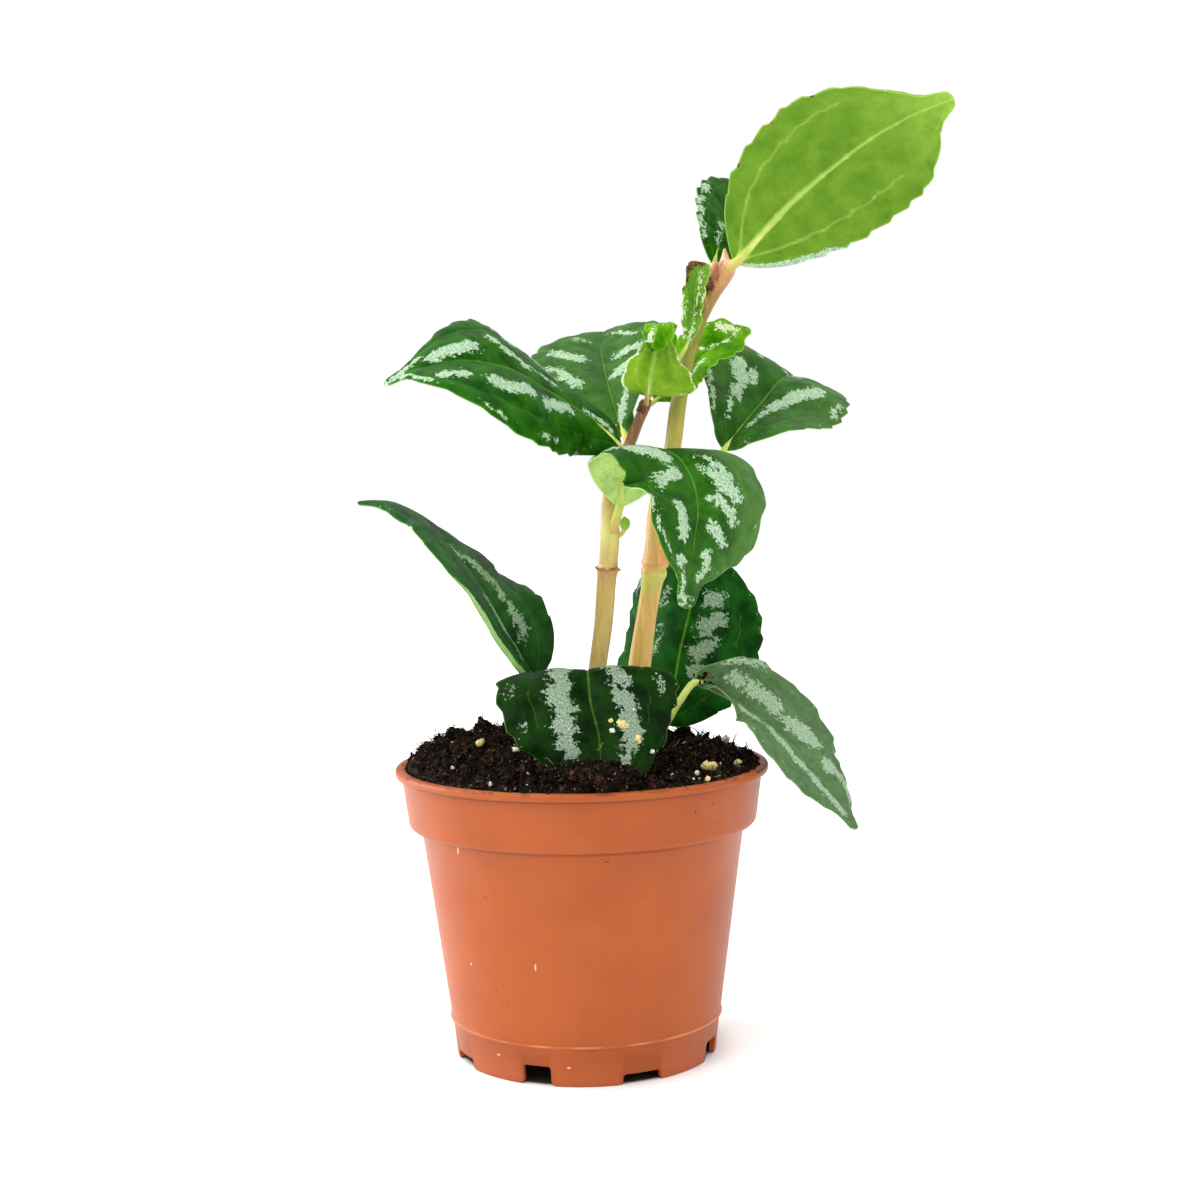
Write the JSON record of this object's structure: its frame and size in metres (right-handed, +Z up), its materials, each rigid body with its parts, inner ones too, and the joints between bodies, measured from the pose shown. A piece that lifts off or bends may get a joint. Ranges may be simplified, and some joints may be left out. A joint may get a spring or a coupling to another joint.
{
  "type": "potted aluminum plant",
  "caption": "Small potted aluminum plant: toothed green leaves with silver marks on two slender stems, in a round flared plastic nursery pot filled with dark soil.",
  "frame": {"origin": "on the floor under the middle of the whole plant's footprint (pot and leaves)", "axes": "+Z up along the pot's axis; -Y towards the front, where the low leaf hangs over the soil; +X to the right, towards the top leaf"},
  "size_m": [0.162, 0.1118, 0.2623],
  "materials": {
    "terracotta_plastic": "satin",
    "peat_soil": "matte",
    "tall_stem_skin": "satin",
    "short_stem_skin": "satin",
    "pale_underside_leaf": "satin",
    "silver_marked_leaf": "satin",
    "old_leaf": "satin",
    "young_leaf": "satin"
  },
  "bodies": {
    "root": {"leaf_axil": "young_leaf", "leaf_front": "silver_marked_leaf", "leaf_front_low": "old_leaf", "leaf_left": "old_leaf", "leaf_lower_back": "old_leaf", "leaf_lower_right": "old_leaf", "leaf_right": "silver_marked_leaf", "leaf_top": "pale_underside_leaf", "leaf_top_small": "silver_marked_leaf", "leaf_upper_back": "silver_marked_leaf", "leaf_upper_left": "silver_marked_leaf", "leaf_young_back": "young_leaf", "leaf_young_front": "young_leaf", "leaf_young_right": "young_leaf", "leaf_young_rolled": "young_leaf", "pot": "terracotta_plastic", "soil": "peat_soil", "stem_short": "short_stem_skin", "stem_tall": "tall_stem_skin"}
  },
  "joints": []
}
